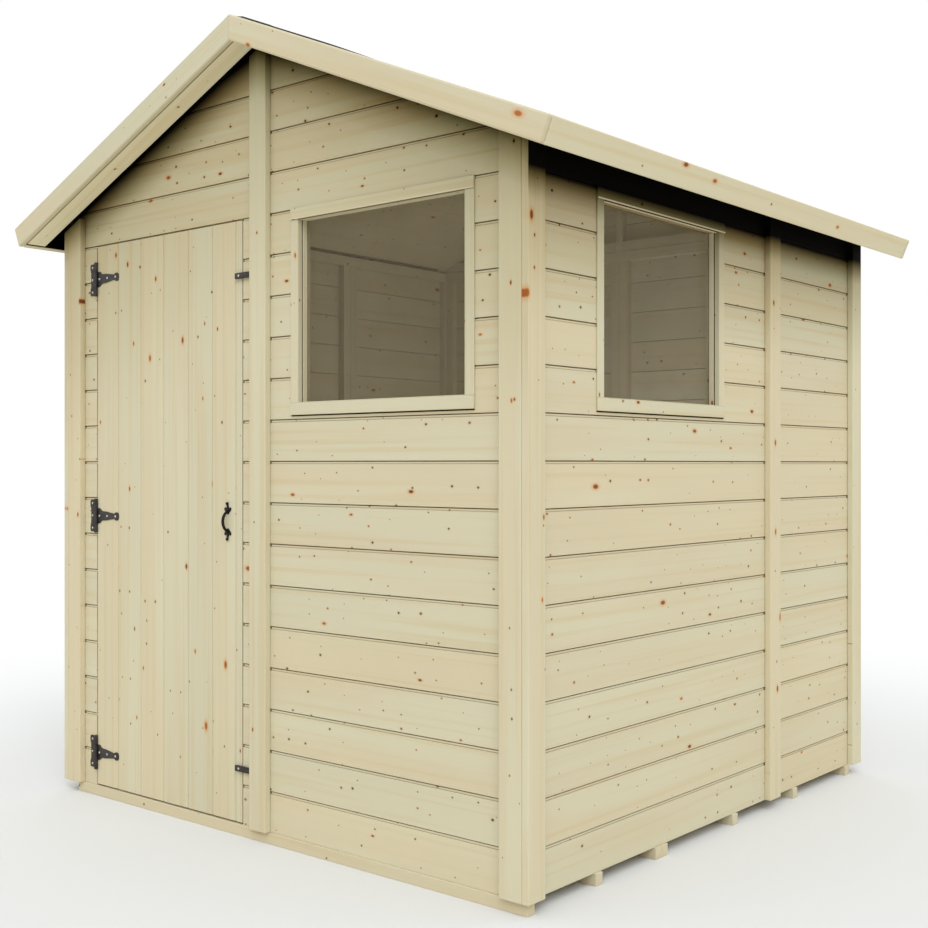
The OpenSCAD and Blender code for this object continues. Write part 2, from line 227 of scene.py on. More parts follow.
def pine(name, shade=1.0, pins=0.46, browns=0.24):
    """Planed pale softwood: soft figure along the grain, pin knots and a few brown ones."""
    wood = Finish(name)
    grain = wood.attribute("grain", "Vector")
    tone = wood.attribute("tone")
    painted_shade = wood.attribute("painted_shade")
    across = wood.axis(grain, "Y")
    deep = wood.axis(grain, "Z")
    pin, pin_halo, pin_lot = knots(wood, grain, 0.050, pins, 0.0012, 0.0035, 1.3)
    brown, brown_halo, brown_lot = knots(wood, grain, 0.12, browns, 0.0026, 0.0064, 1.9)

    # The growth rings are cut by the saw at a distance from the pith, and bend round the knots.
    wander = wood.noise(grain, (1.6, 9.0, 9.0), 2.0)
    pith = tone * 0.09 + 0.018
    off = across + (tone - 0.5) * 0.07
    radius = (off * off + (deep + pith) * (deep + pith)) ** 0.5 + wander * 0.030 + brown_halo * 0.006
    ring = wood.maths("SINE", radius * (2 * math.pi / RING_W)) * 0.5 + 0.5

    streak = wood.noise(grain, (0.9, 55.0, 55.0), 3.0)
    broad = wood.noise(grain, (1.1, 15.0, 15.0), 1.5)
    fibre = wood.noise(grain, (9.0, 900.0, 900.0), 2.0)
    ground = wood.blend(wood.ramp((tone - 0.5) * 0.35 + broad, 0.30, 0.70), PINE_GREEN, PINE_PINK)
    ground = wood.blend(wood.ramp(streak, 0.48, 0.72) * 0.55, ground, PINE_GOLD)
    ground = wood.blend(ring ** 3.0 * 0.20, ground, PINE_GOLD)
    ground = wood.blend((fibre - 0.5) * 0.10 + 0.05, ground, paint(186, 168, 128))

    ground = wood.blend(brown_halo * 0.60, ground, paint(212, 158, 104))
    brown_colour = wood.blend(brown_lot, paint(178, 104, 50), paint(92, 52, 24))
    ground = wood.blend(brown * 0.92, ground, brown_colour)
    ground = wood.blend(pin_halo * 0.35, ground, paint(184, 154, 106))
    pin_colour = wood.blend(wood.ramp(pin_lot, 0.45, 0.75), paint(82, 66, 40), paint(146, 78, 40))
    ground = wood.blend(pin * 0.92, ground, pin_colour)

    # Painted shade turns joints, gaps and hollows brown up to a point and then black, and the overhang's
    # painted shade lies over everything.
    ground = wood.blend(painted_shade * 1.25, ground, paint(124, 98, 46))
    ground = wood.blend(wood.ramp(painted_shade, 0.72, 1.0), ground, PAINTED_SHADE_BLACK)
    shaded = overhang_shade(wood) * wood.maths("GREATER_THAN", painted_shade, OUT_OF_SHADE)
    ground = wood.node("ShaderNodeGamma", {}, {"Color": ground, "Gamma": shaded * 2.6 + 1})
    ground = wood.blend(shaded, ground, PAINTED_SHADE_BLACK)
    level = (wood.noise(grain, (0.8, 3.0, 3.0), 1.0) - 0.5) * 0.10 + (tone * 0.04 + shade - 0.02)
    lit = wood.node("ShaderNodeVectorMath", {"operation": "SCALE"}, {0: ground, 3: level})

    relief = fibre * 0.5 + ring * 0.35 - pin * 0.8
    return wood.surface(
        Base_Color=lit,
        Roughness=wood.ramp(streak, 0.2, 0.8, 0.62, 0.74),
        Specular_IOR_Level=0.04,
        Normal=wood.bump(relief, 0.00025, 0.6))


def iron(name, low, high, gleam):
    """Black paint on rough iron, cloudy between two colours."""
    black = Finish(name)
    place = black.place()
    pits = black.noise(place, (420.0, 420.0, 420.0), 3.0)
    cloud = black.noise(place, (60.0, 60.0, 60.0), 2.0)
    colour = black.blend(black.ramp(cloud, 0.3, 0.7), paint(*low), paint(*high))
    return black.surface(
        Base_Color=colour,
        Roughness=black.ramp(pits, 0.3, 0.7, 0.38, 0.58),
        Metallic=0.0,
        Specular_IOR_Level=gleam,
        Normal=black.bump(pits, 0.0004, 0.7))


def zinc(name):
    """Bright zinc plate on the screws."""
    plate = Finish(name)
    cloud = plate.noise(plate.place(), (300.0, 300.0, 300.0), 2.0)
    return plate.surface(
        Base_Color=plate.blend(cloud, paint(214, 210, 206), paint(184, 180, 176)),
        Roughness=plate.ramp(cloud, 0.3, 0.7, 0.30, 0.45),
        Metallic=0.85)


def felt(name):
    """Bitumen felt faced with fine mineral grit."""
    sheet = Finish(name)
    place = sheet.place()
    grit = sheet.noise(place, (900.0, 900.0, 900.0), 2.0)
    cloud = sheet.noise(place, (5.0, 5.0, 5.0), 3.0)
    colour = sheet.blend(sheet.ramp(grit, 0.35, 0.70), paint(30, 30, 31), paint(74, 74, 75))
    colour = sheet.blend(sheet.ramp(cloud, 0.38, 0.66) * 0.55, colour, paint(62, 61, 59))
    layer = sheet.attribute("tone")
    colour = sheet.blend(layer * 0.30, colour, paint(88, 88, 90))
    return sheet.surface(
        Base_Color=colour,
        Roughness=0.92,
        Specular_IOR_Level=0.3,
        Normal=sheet.bump(grit, 0.0008, 0.8))


def pane(name):
    """Clear glazing with a faint haze and a brown, part-opaque veil: painted shade that stands in for the dim
    room behind it.
    """
    glass = Finish(name)
    haze = glass.noise(glass.place(), (7.0, 7.0, 7.0), 2.0)
    return glass.surface(
        Base_Color=paint(102, 95, 82),
        Roughness=glass.ramp(haze, 0.3, 0.7, 0.03, 0.06),
        Alpha=glass.ramp(haze, 0.2, 0.8, 0.26, 0.30),
        Specular_IOR_Level=0.12)


BOARDS = pine("pine_cladding")
DOOR_BOARDS = pine("pine_door_boards", 1.0, 0.20, 0.34)
TRIM = pine("pine_trim", 1.01, 0.16, 0.36)
# The battens' pine is made lighter to stand in for light from below: painted light.
BATTENS_PAINTED_LIGHTER = pine("pine_battens_painted_light", 1.26, 0.20, 0.30)
BARGES = pine("pine_bargeboards", 0.975, 0.16, 0.36)
EAVES = pine("pine_eaves_boards", 1.07, 0.16, 0.36)
FRAMING = pine("pine_framing", 0.97, 0.20, 0.08)
IRON = iron("black_painted_iron", (24, 22, 22), (46, 41, 40), 0.5)
HANDLE_IRON = iron("black_handle_iron", (10, 8, 7), (26, 20, 18), 0.25)
ZINC = zinc("zinc_plated_screw")
FELT = felt("mineral_felt")
GLASS = pane("window_glass")

PINE_SLOTS = {"pine_boards": BOARDS, "pine_trim": TRIM, "pine_framing": FRAMING}


# ---------------- shapes

def moved(x, y, z):
    """A move, for placing a part."""
    return Matrix.Translation((x, y, z))


STAY = Matrix.Identity(4)
MIRROR_X = Matrix.Scale(-1, 4, (1, 0, 0))
MIRROR_Y = Matrix.Scale(-1, 4, (0, 1, 0))
# The right-hand slope: x down the slope from the ridge, y along the ridge, z square out of the roof.
SLOPE = moved(0, 0, RIDGE_Z) @ Matrix.Rotation(PITCH, 4, "Y")
WALL_TURNS = {"front": 0, "right": 1, "back": 2, "left": 3}


def wall(side):
    """Turns what is drawn for the front wall, which faces -Y, to another wall."""
    return Matrix.Rotation(math.pi / 2 * WALL_TURNS[side], 4, "Z")


def slope_cuts(depth):
    """The two planes at a depth under the roof's surface."""
    point = Vector((0, 0, RIDGE_Z - depth / math.cos(PITCH)))
    return [(point, Vector((way * math.sin(PITCH), 0, math.cos(PITCH)))) for way in (1, -1)]


UNDER_DECK = slope_cuts(ROOF_T + 0.0003)
UNDER_BARGE = slope_cuts(BARGE_W)


def saw(solid, point, normal):
    """Saws off what lies beyond a plane and closes the cut."""
    everything = solid.verts[:] + solid.edges[:] + solid.faces[:]
    sawn = bmesh.ops.bisect_plane(
        solid, geom=everything, dist=1e-6, plane_co=point, plane_no=normal, clear_outer=True)
    rim = [part for part in sawn["geom_cut"] if isinstance(part, bmesh.types.BMEdge)]
    if rim:
        bmesh.ops.holes_fill(solid, edges=rim, sides=0)


def block(low, high, edge):
    """A block between two corners with softly rounded edges."""
    low = Vector(low)
    high = Vector(high)
    solid = bmesh.new()
    bmesh.ops.create_cube(solid, size=1)
    size = high - low
    for vert in solid.verts:
        vert.co = low + Vector(((vert.co[i] + 0.5) * size[i] for i in range(3)))
    if edge:
        bmesh.ops.bevel(
            solid, geom=solid.edges[:], offset=min(edge, min(size) * 0.45), segments=2, profile=0.5,
            affect="EDGES", clamp_overlap=True)
    return solid


def skin(solid, rings):
    """Joins each ring of points to the next. A ring of one point closes an end."""
    for near, far in zip(rings, rings[1:]):
        count = max(len(near), len(far))
        for i in range(count):
            j = (i + 1) % count
            corners = (near[i % len(near)], near[j % len(near)], far[j % len(far)], far[i % len(far)])
            solid.faces.new(dict.fromkeys(corners))


def run_outline(outline, start, end):
    """A moulding: an outline in y and z, run along x."""
    solid = bmesh.new()
    near, far = [[solid.verts.new((x, y, z)) for y, z in outline] for x in (start, end)]
    skin(solid, [near, far])
    solid.faces.new(near[::-1])
    solid.faces.new(far)
    return solid


def set_up(name, made):
    """Puts a mesh, a lamp or a camera in the scene."""
    thing = bpy.data.objects.new(name, made)
    bpy.context.scene.collection.objects.link(thing)
    return thing


def carve(solid, low, high):
    """Takes a block out of a solid."""
    made = []
    for part in (solid, block(low, high, 0)):
        mesh = bpy.data.meshes.new("carving")
        part.to_mesh(mesh)
        made.append(set_up("carving", mesh))
    board, cutter = made
    tool = board.modifiers.new("cut", "BOOLEAN")
    tool.operation = "DIFFERENCE"
    tool.solver = "EXACT"
    tool.object = cutter
    shaped = board.evaluated_get(bpy.context.evaluated_depsgraph_get()).to_mesh()
    solid.clear()
    solid.from_mesh(shaped)
    for thing in made:
        mesh = thing.data
        bpy.data.objects.remove(thing)
        bpy.data.meshes.remove(mesh)


def show(name, mesh, body, slot, nodes):
    """Puts a finished mesh in the scene as a piece."""
    piece = set_up(name, mesh)
    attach(piece, body)
    if nodes:
        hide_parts(*nodes)


def soften(mesh, angle):
    """Shades a mesh smoothly, but for edges sharper than an angle in degrees."""
    for face in mesh.polygons:
        face.use_smooth = True
    mesh.set_sharp_from_angle(angle=math.radians(angle))


PITH_BEHIND = 0.02


class Timber:
    """Boards gathered into one piece. Each board keeps its own grain direction and tone, and the shade
    painted on it in joints and hollows.
    """

    def __init__(self, name):
        self.name = name
        self.dice = random.Random(name)
        self.points = []
        self.faces = []
        self.grain = []
        self.tones = []
        self.painted_shade = []

    def keep(self, solid, run, place=STAY, cuts=(), middle=None, painted_shade=None):
        """Adds one board, moved into place and sawn by the planes. The last argument gives how much shade is
        painted on it at a point.
        """
        solid.transform(place)
        for point, normal in cuts:
            saw(solid, point, normal)
        bmesh.ops.recalc_face_normals(solid, faces=solid.faces[:])
        back = place.inverted()
        local = [back @ vert.co for vert in solid.verts]
        if not local:
            solid.free()
            return
        spans = [(min(co[i] for co in local), max(co[i] for co in local)) for i in range(3)]
        if middle is None:
            middle = [(low + high) / 2 for low, high in spans]
        along = "xyz".index(run)
        across, deep = sorted({0, 1, 2} - {along}, key=lambda i: spans[i][0] - spans[i][1])
        start = self.dice.uniform(0, 30)
        tone = self.dice.random()
        shifts = ((along, start), (across, start), (deep, PITH_BEHIND))
        first = len(self.points)
        for vert, co in zip(solid.verts, local):
            self.points.append(vert.co.copy())
            self.grain.append([co[i] - middle[i] + shift for i, shift in shifts])
            self.tones.append(tone)
            self.painted_shade.append(painted_shade(co) if painted_shade else 0.0)
        solid.verts.index_update()
        for face in solid.faces:
            self.faces.append([first + vert.index for vert in face.verts])
        solid.free()

    def plank(self, low, high, run, edge, place=STAY, cuts=(), painted_shade=0.0):
        """A planed board between two corners, its grain running along one axis."""
        self.keep(block(low, high, edge), run, place, cuts, painted_shade=lambda co: painted_shade)

    def finish(self, slot, nodes, body="shed", material=None):
        mesh = bpy.data.meshes.new(self.name)
        mesh.from_pydata(self.points, [], self.faces)
        grain = [value for point in self.grain for value in point]
        mesh.attributes.new("grain", "FLOAT_VECTOR", "POINT").data.foreach_set("vector", grain)
        mesh.attributes.new("tone", "FLOAT", "POINT").data.foreach_set("value", self.tones)
        mesh.attributes.new("painted_shade", "FLOAT", "POINT").data.foreach_set("value", self.painted_shade)
        mesh.materials.append(material or PINE_SLOTS[slot])
        mesh.validate()
        show(self.name, mesh, body, slot, nodes)


# ---------------- walls

# The shiplap's section: a lip over the tongue below, a scoop, a slot with painted shade at its back, and the
# tongue.
LIP = 0.0086
SCOOP = 0.0024
SLOT_H = 0.0025
SLOT_D = 0.0086
TONGUE = 0.0033
TONGUE_GAP = 0.0005
BACK_VEE = 0.0026
# How much shade is painted on a joint: at the back of its slot, at the step under it, and where it runs in
# behind a strip.
SLOT_PAINTED_SHADE = 0.53
STEP_PAINTED_SHADE = 0.42
END_PAINTED_SHADE = 0.75
END_SHADE_MARK = 0.0017
COURSES = range(21)
SHADE_MARKED_COURSES = range(1, 18)
# A sliver of a course shorter than these, at a panel's foot and top, is left out.
LEAST_FOOT = 0.01
LEAST_TOP = 0.002
STRIP_W = 0.066
STRIP_EDGE = 0.0028
SIDE_JOINT = 0.295
# A window's trim stands on a sill and under a head.
TRIM_W = 0.027
SILL_H = 0.031
HEAD_H = 0.029


def drawn(node, side):
    """The start, end, foot and top of a node, turned to be drawn for the front wall."""
    low, high = [wall(side).inverted() @ Vector(corner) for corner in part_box(node)]
    return (*sorted((low.x, high.x)), low.z, high.z)


HOLES = {}
for node, side in (("front_window_frame", "front"), ("right_window_frame", "right")):
    start, end, foot, top = drawn(node, side)
    HOLES[side] = (start + TRIM_W, end - TRIM_W, foot + SILL_H, top - HEAD_H)


def gable_height(x):
    """How high a gable wall stands at x."""
    return RIDGE_Z - ROOF_T / math.cos(PITCH) - abs(x) * math.tan(PITCH)


def strip_middles(side):
    """Where a wall's three cover strips stand. A side wall's corner strips lap over the gable's."""
    if side in ("front", "back"):
        return (STRIP_W / 2 - CLAD_FACE, 0.0, CLAD_FACE - STRIP_W / 2)
    joint = SIDE_JOINT if side == "right" else -SIDE_JOINT
    return (STRIP_W / 2 - STRIP_FACE, joint, STRIP_FACE - STRIP_W / 2)


def joint_ends(side, start, end, node):
    """Where a panel's course joints run in behind the cover strips, or stop beside the doorway."""
    half = STRIP_W / 2 + END_SHADE_MARK / 2
    places = [middle + way * half for middle in strip_middles(side) for way in (-1, 1)]
    places = [x for x in places if start < x < end]
    if node == "front_wall_right_of_door":
        places.append(start + END_SHADE_MARK / 2)
    return places


def shiplap(start, end, foot):
    """One course of cladding for the front wall. Its top steps back to a tongue behind the next lip."""
    step = COURSE - LIP
    slot = COURSE - SLOT_H
    tongue = COURSE + TONGUE
    outline = [
        (0.0, 0.0012), (0.0, step), (SCOOP, step + 0.0006), (SCOOP, step + 0.0018),
        (SCOOP, step + 0.0024), (SCOOP, slot - 0.0004), (SCOOP + 0.0006, slot), (SLOT_D, slot),
        (SLOT_D, tongue), (CLAD_T - BACK_VEE, tongue), (CLAD_T, tongue - BACK_VEE),
        (CLAD_T, TONGUE + TONGUE_GAP), (SLOT_D + 0.0004, TONGUE + TONGUE_GAP), (SLOT_D + 0.0004, 0.0),
        (0.0010, 0.0), (0.0003, 0.0003)]
    return run_outline([(depth - CLAD_FACE, foot + height) for depth, height in outline], start, end)


def slot_painted_shade(co):
    """Painted shade: a joint is dark at the back of its slot, and less so at the step under it."""
    depth = co.y + CLAD_FACE
    height = (co.z - CLAD_FOOT) % COURSE
    if abs(depth - SLOT_D) < 0.001:
        return SLOT_PAINTED_SHADE
    if abs(depth - SCOOP) < 0.0002 and height < COURSE - LIP + 0.0021:
        return STEP_PAINTED_SHADE
    return 0.0


def clad(node, side):
    """Covers one wall panel with shiplap, sawn under the roof and round its window."""
    boards = Timber(node + "_boards")
    start, end, foot, top = drawn(node, side)
    holes = [HOLES[side]] if node.endswith("window_panel") else []
    cuts = [*UNDER_DECK, (Vector((0, 0, foot)), Vector((0, 0, -1)))]
    if abs(top - DOOR_HEAD) < 0.001:
        cuts.append((Vector((0, 0, top - 0.0005)), Vector((0, 0, 1))))
    for course in COURSES:
        board_foot = CLAD_FOOT + COURSE * course
        board_top = board_foot + COURSE + TONGUE
        if board_top < foot + LEAST_FOOT or board_foot > top - LEAST_TOP:
            continue
        solid = shiplap(start, end, board_foot)
        for x0, x1, z0, z1 in holes:
            if z0 < board_top and z1 > board_foot:
                carve(solid, (x0, -CLAD_FACE - 0.02, z0), (x1, -CLAD_BACK + 0.02, z1))
        boards.keep(solid, "x", wall(side), cuts, (0, -CLAD_FACE, board_foot + COURSE / 2), slot_painted_shade)
    # Small dark planks where the joints run in behind a strip or stop at the doorway are painted shade.
    for x in joint_ends(side, start, end, node):
        for course in SHADE_MARKED_COURSES:
            joint = CLAD_FOOT + COURSE * course
            if foot < joint - LIP and joint < min(top - 0.01, gable_height(x) - 0.03):
                low = (x - END_SHADE_MARK / 2, -CLAD_FACE + 0.0002, joint - LIP + 0.0004)
                high = (x + END_SHADE_MARK / 2, -CLAD_FACE + SCOOP + 0.0002, joint - 0.0004)
                boards.plank(low, high, "x", 0.0, wall(side), (), END_PAINTED_SHADE)
    boards.finish("pine_boards", [node])


for node in (
        "front_wall_left_of_door", "front_wall_right_of_door", "front_gable_over_door",
        "front_wall_window_panel", "right_wall_window_panel", "right_wall_plain_panel",
        "left_wall_front_panel", "left_wall_back_panel", "back_wall_left_panel", "back_wall_right_panel"):
    clad(node, node.split("_")[0])


def cover_strips(side):
    """Three upright strips over the joints and corners of a wall, sawn in line with the bargeboards' feet."""
    strips = Timber(side + "_cover_strips_timber")
    for middle in strip_middles(side):
        low = (middle - STRIP_W / 2, -STRIP_FACE, CLAD_FOOT)
        high = (middle + STRIP_W / 2, -CLAD_FACE, RIDGE_Z)
        strips.plank(low, high, "z", STRIP_EDGE, wall(side), UNDER_BARGE)
    strips.finish("pine_trim", [side + "_cover_strips"])


for side in ("front", "back", "right", "left"):
    cover_strips(side)

# ---------------- framing and floor

TIMBER_EDGE = 0.0015
FLOOR_BOARD_W = 0.098
FLOOR_BOARD_EDGE = 0.0008
FLOOR_GAP = 0.0002


def split_solids(node):
    """The boxes of a CAD node's separate solids, each as (lowest corner, highest corner)."""
    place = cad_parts[node].matrix_world
    solid = bmesh.new()
    solid.from_mesh(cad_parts[node].data)
    bmesh.ops.remove_doubles(solid, verts=solid.verts[:], dist=1e-6)
    left = set(solid.verts)
    boxes = []
    while left:
        reached = {left.pop()}
        ahead = list(reached)
        while ahead:
            vert = ahead.pop()
            found = {edge.other_vert(vert) for edge in vert.link_edges} & left
            left -= found
            reached |= found
            ahead += found
        spots = [place @ vert.co for vert in reached]
        boxes.append([Vector(pick(spot[i] for spot in spots) for i in range(3)) for pick in (min, max)])
    solid.free()
    return sorted(boxes, key=lambda pair: tuple(round(value, 4) for value in (*pair[0], *pair[1])))


def frame_timbers(node):
    """Studs, rails and bearers: one planed timber for each solid of the CAD node."""
    timbers = Timber(node + "_timber")
    for low, high in split_solids(node):
        size = high - low
        run = "xyz"[max(range(3), key=lambda i: size[i])]
        timbers.plank(low, high, run, TIMBER_EDGE, STAY, UNDER_DECK)
    timbers.finish("pine_framing", [node])


for node in (
        "front_studs", "front_rails", "right_studs", "right_rails", "left_studs", "left_rails",
        "back_studs", "back_rails", "ridge_beam", "floor_bearers"):
    frame_timbers(node)


def floor_boards(node):
    """Tongued floor boards laid across the bearers."""
    low, high = [Vector(corner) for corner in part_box(node)]
    boards = Timber(node + "_boards")
    count = round((high.x - low.x) / FLOOR_BOARD_W)
    width = (high.x - low.x) / count
    for i in range(count):
        start = low.x + i * width + FLOOR_GAP
        end = low.x + (i + 1) * width - FLOOR_GAP
        boards.plank((start, low.y, low.z), (end, high.y, high.z), "y", FLOOR_BOARD_EDGE)
    boards.finish("pine_boards", [node])


floor_boards("front_floor_panel")
floor_boards("back_floor_panel")

# ---------------- windows

# How far the trim, head and sill stand out of the cladding, and the lip under the head.
TRIM_OUT = 0.0045
HEAD_OUT = 0.0065
SILL_OUT = 0.007
LIP_OUT = 0.0077
TRIM_EDGE = 0.0014
BOARD_EDGE = 0.002
# The lining goes back to a gap filled with strips of painted shade, and the inner frame stands behind that,
# on both sides of the glass.
LINING_T = 0.002
LINING_BACK = 0.010
GAP_BACK = 0.0132
GAP_T = 0.0006
FRAME_FRONT = 0.0135
GLASS_IN = 0.027
GLASS_BACK = 0.030
FRAME_BACK = 0.038
REBATE_W = 0.004
REBATE_TOP = 0.0015
GAP_PAINTED_SHADE = 0.95


def window_joinery(node, side):
    """Thin trim on a sill and under a head, the lining, and an inner frame before and behind the glass."""
    x0, x1, z0, z1 = HOLES[side]
    parts = Timber(node + "_joinery")

    def part(start, end, foot, top, front, back, run, edge, painted_shade=0.0):
        """One piece of it, between two depths behind the cladding's face."""
        low = (start, front - CLAD_FACE, foot)
        high = (end, back - CLAD_FACE, top)
        parts.plank(low, high, run, edge, wall(side), (), painted_shade)

    left = x0 - TRIM_W
    right = x1 + TRIM_W
    part(left, x0, z0, z1, -TRIM_OUT, 0.0, "z", TRIM_EDGE)
    part(x1, right, z0, z1, -TRIM_OUT, 0.0, "z", TRIM_EDGE)
    part(left, right, z1, z1 + HEAD_H, -HEAD_OUT, 0.0, "x", BOARD_EDGE)
    part(left, right, z0 - SILL_H, z0, -SILL_OUT, 0.0, "x", BOARD_EDGE)
    # The lip is left out of the painted shade under the roof, so it shows as a painted highlight. A strip of
    # painted shadow runs along under the sill.
    part(left, right, z1 - 0.0004, z1 + 0.0030, -LIP_OUT, 0.001 - HEAD_OUT, "x", 0.0004, -1.0)
    part(left + 0.001, right - 0.001, z0 - 0.0343, z0 - 0.0309, -0.0012, 0.001, "x", 0.0, GAP_PAINTED_SHADE)

    # Strips of painted shade fill the gap behind the lining.
    for sides in (
            (x0, x0 + GAP_T, z0, z1), (x1 - GAP_T, x1, z0, z1),
            (x0, x1, z0, z0 + GAP_T), (x0, x1, z1 - GAP_T, z1)):
        part(*sides, LINING_BACK, GAP_BACK, "x", 0.0, GAP_PAINTED_SHADE)

    front = 0.001 - TRIM_OUT
    inner_left = x0 + LINING_T
    inner_right = x1 - LINING_T
    part(x0, inner_left, z0, z1, front, LINING_BACK, "z", 0.0004)
    part(inner_right, x1, z0, z1, front, LINING_BACK, "z", 0.0004)
    part(inner_left, inner_right, z0, z0 + LINING_T, front, LINING_BACK, "x", 0.0004)
    # The lining's top carries painted shade at its front, and is kept out of the overhang's painted shade at
    # its back.
    part(inner_left, inner_right, z1 - LINING_T, z1, front, 0.0, "x", 0.0002, 0.6)
    part(inner_left, inner_right, z1 - LINING_T, z1, 0.0002, LINING_BACK, "x", 0.0002, -1.0)

    # The side window's inner frame carries painted shade along its top.
    top_painted_shade = 0.55 if side == "right" else 0.0
    inner_left = x0 + REBATE_W
    inner_right = x1 - REBATE_W
    for front, back in ((FRAME_FRONT, GLASS_IN), (GLASS_BACK, FRAME_BACK)):
        part(x0, inner_left, z0, z1, front, back, "z", 0.0006)
        part(inner_right, x1, z0, z1, front, back, "z", 0.0006)
        part(inner_left, inner_right, z0, z0 + REBATE_W, front, back, "x", 0.0006)
        part(inner_left, inner_right, z1 - REBATE_TOP, z1, front, back, "x", 0.0006, top_painted_shade)
    parts.finish("pine_trim", [node])


window_joinery("front_window_frame", "front")
window_joinery("right_window_frame", "right")

# ---------------- roof

LEFT_SLOPE = MIRROR_X @ SLOPE
# Boards and battens stop a hair short of the eaves boards, and start past the ridge before they are sawn.
SLOPE_END = SLOPE_LEN - BARGE_T
HAIR = 0.0002
PAST_RIDGE = -0.02


def ridge_cut(way, gap):
    """The plane that saws a board at the ridge. The way is 1 on the right slope and -1 on the left."""
    return (Vector((way * gap, 0, 0)), Vector((-way, 0, 0)))


def roof_deck(node, place, way):
    """The roof's boards. Where they overhang the walls they are painted near-black all through, as the shade
    under the overhang.
    """
    deck = Timber(node + "_boards")
    wall_line = CLAD_FACE / math.cos(PITCH)
    for low, high, painted_shade in (
            ((PAST_RIDGE, -CLAD_FACE), (wall_line, CLAD_FACE), 0.0),
            ((wall_line, -DECK_Y), (SLOPE_END - HAIR, DECK_Y), 1.0),
            ((PAST_RIDGE, -DECK_Y), (wall_line, -CLAD_FACE), 1.0),
            ((PAST_RIDGE, CLAD_FACE), (wall_line, DECK_Y), 1.0)):
        cuts = [ridge_cut(way, 0.0001)]
        deck.plank((*low, -ROOF_T), (*high, -FELT_T - 0.0001), "y", 0.0, place, cuts, painted_shade)
    deck.finish("pine_boards", [node])


roof_deck("right_roof_panel", SLOPE, 1)
roof_deck("left_roof_panel", LEFT_SLOPE, -1)


def raked(node, turns, slot, near, far, shallow, deep, length, edge, material, painted_shade=None):
    """Boards down both slopes, mitred at the ridge, on the gables that are named by their turns."""
    timbers = Timber(node + "_timber")
    for place, way in ((SLOPE, 1), (LEFT_SLOPE, -1)):
        for turned in turns:
            board = block((-0.06, near, -deep), (length, far, -shallow), edge)
            timbers.keep(board, "x", turned @ place, [ridge_cut(way, 0.0003)], painted_shade=painted_shade)
    timbers.finish(slot, [node], "shed", material)


def batten_painted_shade(co):
    """Painted shade: a dark line runs along the battens where the bargeboards are nailed to them."""
    return 0.85 if co.y < -DECK_Y + 0.003 and co.z < -BARGE_W + 0.0045 else 0.0


BARGE_EDGE = 0.005
BARGE_BACK = -DECK_Y - 0.0004
BATTEN_D = 0.067
BATTEN_EDGE = 0.003
for node, turned in (("front_bargeboards", STAY), ("back_bargeboards", MIRROR_Y)):
    raked(node, [turned], "pine_trim", BARGE_Y, BARGE_BACK, 0.0, BARGE_W, SLOPE_LEN, BARGE_EDGE, BARGES)
raked(
    "rake_battens", [STAY, MIRROR_Y], "pine_framing", -DECK_Y + 0.0008, -DECK_Y + BATTEN_D, ROOF_T + HAIR,
    BARGE_W - 0.002, SLOPE_END - HAIR, BATTEN_EDGE, BATTENS_PAINTED_LIGHTER, batten_painted_shade)


def eaves_painted_shade(co):
    """Painted shade: the back of an eaves board is dark."""
    return 1.0 if co.x < SLOPE_END + 0.001 else 0.0


eaves = Timber("eaves_boards_timber")
for place in (SLOPE, LEFT_SLOPE):
    board = block((SLOPE_END, -DECK_Y, -BARGE_W), (SLOPE_LEN, DECK_Y, 0), 0.003)
    eaves.keep(board, "y", place, painted_shade=eaves_painted_shade)
eaves.finish("pine_trim", ["eaves_boards"], "shed", EAVES)

# Inside, the side walls stop short of the roof boards, and thin strips of painted shade make a dark line
# there.
WALL_SHADE_Y = 0.80
WALL_SHADE_T = 0.0008
wall_top_shade = Timber("wall_top_gaps")
rail_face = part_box("right_rails")[0][0]
rail_top = gable_height(rail_face)
for place in (STAY, MIRROR_X):
    low = (rail_face - WALL_SHADE_T, -WALL_SHADE_Y, rail_top - 0.009)
    wall_top_shade.plank(low, (rail_face, WALL_SHADE_Y, rail_top + 0.01), "y", 0.0, place, UNDER_DECK, 0.8)
wall_top_shade.finish("pine_framing", [])


def eased(part):
    """0 before the start, 1 after the end, and a smooth rise between them."""
    part = min(1.0, max(0.0, part))
    return part * part * (3 - 2 * part)


# The felt: where its courses lap, down the slope, and where it buckles along the verge.
FELT_LAP = 0.56
RIDGE_CAP = 0.15
LAP_STEP = 0.0005
FELT_LAYER = 0.0008
FELT_ROWS = 60
FELT_COLUMNS = 48
VERGE_W = 0.10
BUCKLE_H = 0.0048
BUCKLE_START = 0.008
BUCKLE_RISE = 0.030
BUCKLE_FALL = 0.36
BUCKLE_FADE = 0.30


def felt_lift(x, y, buckle):
    """How high the felt stands over its lowest course: its laps, and a low buckle at the verge."""
    laps = FELT_LAYER * ((x <= RIDGE_CAP) + (x <= FELT_LAP))
    verge = max(0.0, 1 - (y + DECK_Y) / VERGE_W)
    swell = eased((x - BUCKLE_START) / BUCKLE_RISE) * (1 - eased((x - BUCKLE_FALL) / BUCKLE_FADE))
    return laps + buckle * BUCKLE_H * verge ** 0.7 * swell


